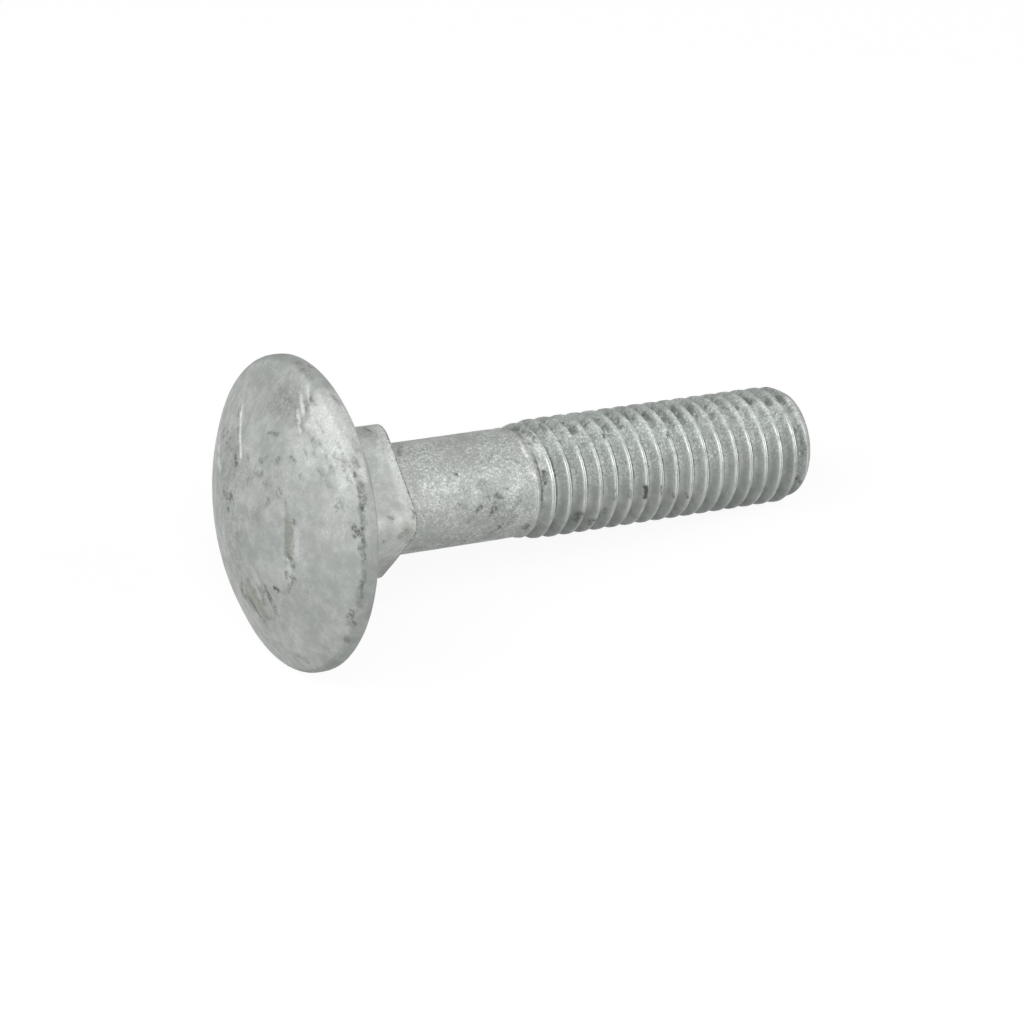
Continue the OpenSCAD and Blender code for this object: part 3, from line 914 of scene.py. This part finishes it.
def wearAndPaintedLightOnThread(tree, colour, helix, noises, areas):
    # the crests' worn edges and lap, with painted highlights, a painted shadow line and painted shade
    onThread, fromTop, past, down = (helix[k] for k in ("On Thread", "From Crest", "Past Crest", "Down"))
    blotch, fine = noises["blotch"], noises["fine"]
    # the crest's worn edges, a little wavy, painted white as highlights: strongly on the thread's lit band,
    # faintly elsewhere
    colour = mixColour(tree, times(tree, areas["edge"], zinc["edgeWhite"]), colour, zinc["bright"])
    # painted shadow: a thin dark line in the root, under the side of the crest that looks to the end, on the
    # lit band
    line = times(tree, band(tree, past, "lineFrom"), band(tree, past, "lineTo"), areas["worn"])
    colour = mixColour(tree, times(tree, line, band(tree, fine, "lineBreaks")), colour, zinc["dark"])
    # a fine dark lap between the worn edges
    seam = times(tree, areas["seam"], band(tree, blotch, "seamBreaks"))
    colour = mixColour(tree, seam, colour, zinc["dark"])
    # painted shade: dark patches deep in the grooves along the top
    patch = times(tree, band(tree, down, "patchDown"), band(tree, blotch, "patchBlotch"), onThread)
    return mixColour(tree, times(tree, patch, band(tree, fromTop, "patchDeep")), colour, zinc["dark"])


def findSmudgesAndShade(tree, marked, fine):
    # the dark marks, smudges and painted shade alike, broken up by a fine cloud where they are weak
    broken = maths(tree, "MULTIPLY", marked["dark"], band(tree, fine, "markBreaks"), clamp=True)
    return maths(tree, "MAXIMUM", broken, band(tree, marked["dark"], "markFull"))


def findRelief(tree, place, noises, marked, rough, smudgeAndShade, onNeck):
    # soft lumps, a fine grain, drawn lines on the neck, raised pale marks and sunk dark ones
    lumps, fine, grain = (times(tree, noises[name], heights[name]) for name in ("blotch", "fine", "grain"))
    height = maths(tree, "ADD", lumps, times(tree, maths(tree, "ADD", fine, grain), rough))
    drawn = cloud(tree, place, "drawn", stretch=drawnStretch)
    height = maths(tree, "ADD", height, times(tree, drawn, heights["drawn"], onNeck))
    height = maths(tree, "ADD", height, times(tree, marked["pale"], heights["pale"]))
    return maths(tree, "SUBTRACT", height, times(tree, smudgeAndShade, heights["dark"]))


def makeZinc():
    material = bpy.data.materials.new("galvanisedZinc")
    material.use_nodes = True
    tree = material.node_tree
    tree.nodes.clear()
    shader = addNode(tree, "BsdfPrincipled")
    output = addNode(tree, "OutputMaterial")
    tree.links.new(shader.outputs[0], output.inputs["Surface"])
    place = boltPlace(tree)
    helix = useGroup(tree, makeHelix(), Place=place)
    marks = ("dark", "pale", "olive")
    marked = {name: addNode(tree, "Attribute", attribute_name=name).outputs["Fac"] for name in marks}
    noises = {name: cloud(tree, place, name) for name in ("broad", "blotch", "fine", "grain")}
    rough = findGrain(tree, helix, noises, marked)
    areas = findAreas(tree, helix, noises)
    colour = coatColour(tree, place, helix, noises, marked, rough)
    colour = shadeAreas(tree, colour, helix, areas)
    colour = wearAndPaintedLightOnThread(tree, colour, helix, noises, areas)
    # a dark line round the end of the neck, painted shadow of its edge with dirt along it, then the dark
    # marks:
    # smudges and stains, and painted shade
    along, neckH = helix["Along"], bolt["neckH"]
    dirtAndShadow = times(tree, band(tree, along, "dirtAndShadowFrom", neckH), band(tree, along, "dirtAndShadowTo", neckH))
    dirtAndShadow = times(tree, dirtAndShadow, band(tree, noises["fine"], "dirtAndShadowBreaks"))
    colour = mixColour(tree, dirtAndShadow, colour, zinc["dark"])
    smudgeAndShade = findSmudgesAndShade(tree, marked, noises["fine"])
    feed(tree, shader.inputs["Base Color"], mixColour(tree, smudgeAndShade, colour, zinc["dark"]))

    shader.inputs["Specular IOR Level"].default_value = zinc["specular"]
    metal = mixValue(tree, areas["root"], zinc["metallic"], zinc["metallicRoot"])
    feed(tree, shader.inputs["Metallic"], mixValue(tree, areas["edge"], metal, zinc["metallicCrest"]))
    dull = mixValue(tree, areas["rim"], band(tree, noises["blotch"], "roughness"), zinc["roughRim"])
    dull = mixValue(tree, areas["root"], dull, zinc["roughRoot"])
    feed(tree, shader.inputs["Roughness"], mixValue(tree, areas["edge"], dull, zinc["roughCrest"]))
    bump = addNode(tree, "Bump")
    bump.inputs["Distance"].default_value = zinc["relief"]
    feed(tree, bump.inputs["Height"], findRelief(tree, place, noises, marked, rough, smudgeAndShade, areas["neck"]))
    tree.links.new(bump.outputs[0], shader.inputs["Normal"])
    print("material made")
    return material


piece = buildBolt()
piece.data.materials.append(makeZinc())
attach(piece, "root")
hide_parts("carriage_bolt")

# The stage: floor, world and lights, lengths in metres; each light has the way to it and its power
stage = {
    "floorSize": 6.0, "floorGlow": 0.92,
    "floorSheen": (0.123, 0.123, 0.123, 1), "floorUnder": (0.5, 0.5, 0.5, 1),
    "worldGrey": 0.04, "worldWhite": 1.0,
    "lampSize": 0.6, "lampAway": 1.0,
    "lights": {
        "highLight": ((-0.30, -0.60, 0.75), 3.6),
        "topLight": ((-0.6, -0.05, 0.8), 2.6),
        "leftLight": ((-0.95, 0.0, 0.3), 1.6),
        "backLight": ((-0.78, 0.43, 0.46), 0.8),
        "rightHighLight": ((0.45, -0.65, 0.6), 1.4),
        "rightLight": ((0.5, -0.8, 0.35), 2.3),
    },
}


def whiteRays(tree):
    # 1 where the camera, or metal or glass, looks at the background, 0 for the light it gives off
    rays = addNode(tree, "LightPath")
    seen = maths(tree, "ADD", rays.outputs["Is Camera Ray"], rays.outputs["Is Glossy Ray"])
    return maths(tree, "ADD", seen, rays.outputs["Is Transmission Ray"], clamp=True)


def byRays(tree, other, white):
    # the white shader for those rays, the other one for the rest
    mixed = addNode(tree, "MixShader")
    feed(tree, mixed.inputs[0], whiteRays(tree))
    tree.links.new(other, mixed.inputs[1])
    tree.links.new(white, mixed.inputs[2])
    return mixed.outputs[0]


def makeFloor():
    bm = bmesh.new()
    bmesh.ops.create_grid(bm, x_segments=1, y_segments=1, size=stage["floorSize"] / 2)
    mesh = bpy.data.meshes.new("studioFloor")
    bm.to_mesh(mesh)
    bm.free()
    floor = bpy.data.objects.new("studioFloor", mesh)
    bpy.context.scene.collection.objects.link(floor)
    material = bpy.data.materials.new("paleFloor")
    material.use_nodes = True
    tree = material.node_tree
    tree.nodes.clear()
    # white that the object's shadow still darkens a little
    sheen, under = addNode(tree, "BsdfDiffuse"), addNode(tree, "BsdfDiffuse")
    sheen.inputs["Color"].default_value = stage["floorSheen"]
    under.inputs["Color"].default_value = stage["floorUnder"]
    glow = addNode(tree, "Emission")
    glow.inputs["Strength"].default_value = stage["floorGlow"]
    white = addNode(tree, "AddShader")
    tree.links.new(sheen.outputs[0], white.inputs[0])
    tree.links.new(glow.outputs[0], white.inputs[1])
    output = addNode(tree, "OutputMaterial")
    tree.links.new(byRays(tree, under.outputs[0], white.outputs[0]), output.inputs["Surface"])
    mesh.materials.append(material)


def makeWorld():
    world = bpy.data.worlds.new("studio")
    world.use_nodes = True
    tree = world.node_tree
    tree.nodes.clear()
    grey, white = addNode(tree, "Background"), addNode(tree, "Background")
    for background, strength in ((grey, stage["worldGrey"]), (white, stage["worldWhite"])):
        background.inputs["Color"].default_value = (1, 1, 1, 1)
        background.inputs["Strength"].default_value = strength
    output = addNode(tree, "OutputWorld")
    tree.links.new(byRays(tree, grey.outputs[0], white.outputs[0]), output.inputs["Surface"])
    bpy.context.scene.world = world


def makeLights():
    for name, (toward, power) in stage["lights"].items():
        data = bpy.data.lights.new(name, "AREA")
        data.shape = "DISK"
        data.size = stage["lampSize"]
        data.energy = power
        lamp = bpy.data.objects.new(name, data)
        bpy.context.scene.collection.objects.link(lamp)
        direction = Vector(toward).normalized()
        lamp.location = direction * stage["lampAway"]
        lamp.rotation_euler = direction.to_track_quat("Z", "Y").to_euler()


def makeCamera():
    data = bpy.data.cameras.new("camera")
    data.sensor_width = view["sensor"]
    data.lens = view["lens"]
    camera = bpy.data.objects.new("camera", data)
    bpy.context.scene.collection.objects.link(camera)
    camera.location = view["at"]
    camera.rotation_euler = Matrix((rightward, upward, backward)).transposed().to_euler()
    bpy.context.scene.camera = camera


makeFloor()
makeWorld()
makeLights()
makeCamera()
bpy.context.scene.view_settings.view_transform = "Standard"

print("stage made")
